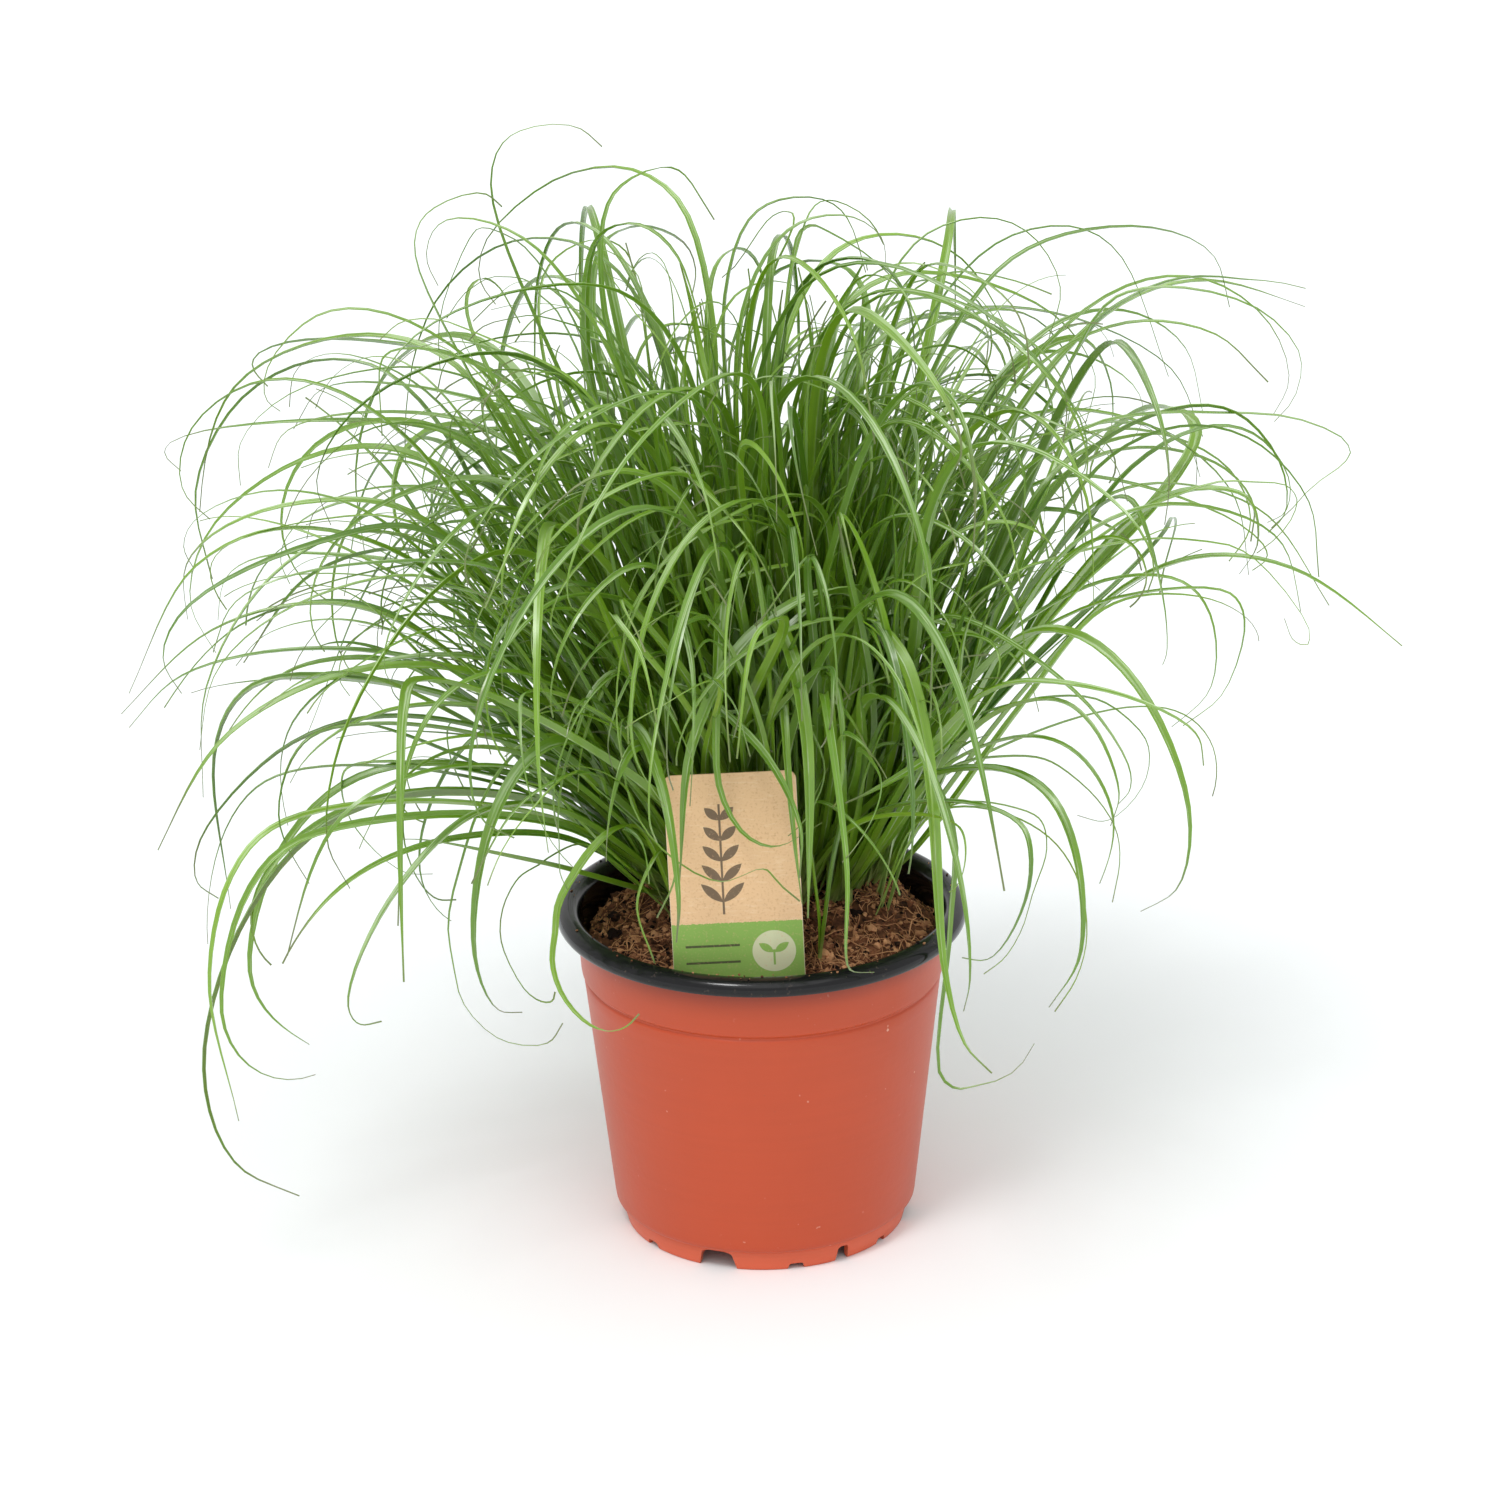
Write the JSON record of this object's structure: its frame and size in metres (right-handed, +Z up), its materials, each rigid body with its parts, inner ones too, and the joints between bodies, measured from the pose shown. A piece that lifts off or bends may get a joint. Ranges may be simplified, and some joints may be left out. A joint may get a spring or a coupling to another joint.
{
  "type": "potted umbrella sedge",
  "caption": "Leafy tuft of umbrella sedge with long arching keeled blades, growing in a two-tone plastic grower's pot with coir soil and a plain card label.",
  "frame": {"origin": "centre of the pot's foot, on the surface it stands on", "axes": "+Z up along the pot's axis, -Y the front with the label, +X to the right seen from the front"},
  "size_m": [0.3735, 0.3264, 0.3216],
  "materials": {
    "pot_plastic": "satin thermoformed plastic, terracotta outside, black lip and inside",
    "coir_peat": "rough brown coir and peat crumbs",
    "kraft_card": "uncoated kraft card with a printed green band",
    "sedge_leaf": "fresh mid green leaf with a soft sheen along the midrib"
  },
  "bodies": {
    "root": {"pot": "pot_plastic", "soil": "coir_peat", "plant_label": "kraft_card", "shoot_01": "sedge_leaf", "shoot_02": "sedge_leaf", "shoot_03": "sedge_leaf", "shoot_04": "sedge_leaf", "shoot_05": "sedge_leaf", "shoot_06": "sedge_leaf", "shoot_07": "sedge_leaf", "shoot_08": "sedge_leaf", "shoot_09": "sedge_leaf", "shoot_10": "sedge_leaf", "shoot_11": "sedge_leaf", "shoot_12": "sedge_leaf", "shoot_13": "sedge_leaf", "shoot_14": "sedge_leaf", "shoot_15": "sedge_leaf", "shoot_16": "sedge_leaf", "shoot_17": "sedge_leaf", "shoot_18": "sedge_leaf", "shoot_19": "sedge_leaf", "shoot_20": "sedge_leaf", "shoot_21": "sedge_leaf", "shoot_22": "sedge_leaf", "shoot_23": "sedge_leaf", "shoot_24": "sedge_leaf", "shoot_25": "sedge_leaf", "shoot_26": "sedge_leaf", "shoot_27": "sedge_leaf", "shoot_28": "sedge_leaf", "shoot_29": "sedge_leaf", "shoot_30": "sedge_leaf", "shoot_31": "sedge_leaf", "shoot_32": "sedge_leaf", "shoot_33": "sedge_leaf", "shoot_34": "sedge_leaf", "shoot_35": "sedge_leaf", "shoot_36": "sedge_leaf", "shoot_37": "sedge_leaf", "shoot_38": "sedge_leaf", "shoot_39": "sedge_leaf", "shoot_40": "sedge_leaf", "shoot_41": "sedge_leaf", "shoot_42": "sedge_leaf", "shoot_43": "sedge_leaf", "shoot_44": "sedge_leaf", "shoot_45": "sedge_leaf", "shoot_46": "sedge_leaf", "shoot_47": "sedge_leaf", "shoot_48": "sedge_leaf", "shoot_49": "sedge_leaf", "shoot_50": "sedge_leaf", "shoot_51": "sedge_leaf", "shoot_52": "sedge_leaf", "shoot_53": "sedge_leaf", "shoot_54": "sedge_leaf", "shoot_55": "sedge_leaf", "shoot_56": "sedge_leaf", "shoot_57": "sedge_leaf"}
  },
  "joints": []
}
